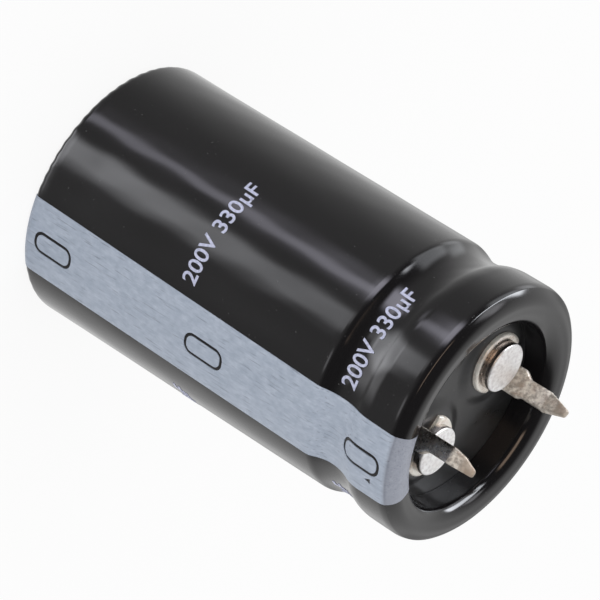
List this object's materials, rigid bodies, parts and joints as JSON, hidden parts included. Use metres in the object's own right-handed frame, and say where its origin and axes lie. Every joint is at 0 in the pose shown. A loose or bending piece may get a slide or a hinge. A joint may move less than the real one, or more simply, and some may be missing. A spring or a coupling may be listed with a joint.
{
  "type": "electrolytic capacitor",
  "caption": "Radial snap-in aluminium electrolytic capacitor with a black sleeve, pale polarity stripe, grooved can and kinked blade terminals on a sealed end.",
  "frame": {"origin": "centre of the closed end, in the plane that the sleeve's folded foot rests on", "axes": "+Z along the can towards the terminals, +X from the negative blade to the positive blade"},
  "size_m": [0.0206, 0.0204, 0.0391],
  "materials": {
    "aluminium_case": "drawn, satin",
    "shrink_sleeve": "glossy black heat-shrunk plastic",
    "stripe_ink": "pale blue-grey printed ink, satin",
    "seal_rubber": "black, smooth satin",
    "laminate_board": "brown paper laminate",
    "tinned_steel": "bright tin plating, slightly scuffed",
    "rivet_aluminium": "pressed, bright",
    "foil_tab": "bright",
    "wound_foil_and_paper": "paper and etched foil, damp with electrolyte",
    "polyester_tape": "translucent tan tape",
    "insulating_paper": "plain kraft paper"
  },
  "bodies": {
    "root": {"can": "aluminium_case", "sleeve": "shrink_sleeve", "polarity_stripe": "stripe_ink", "seal_rubber": "seal_rubber", "seal_board": "laminate_board", "terminal_positive": "tinned_steel", "terminal_negative": "tinned_steel", "rivet_positive": "rivet_aluminium", "rivet_negative": "rivet_aluminium", "inner_washer_positive": "aluminium_case", "inner_washer_negative": "aluminium_case", "tab_positive": "foil_tab", "tab_negative": "foil_tab", "wound_element": "wound_foil_and_paper", "element_tape": "polyester_tape", "end_paper": "insulating_paper"}
  },
  "joints": []
}
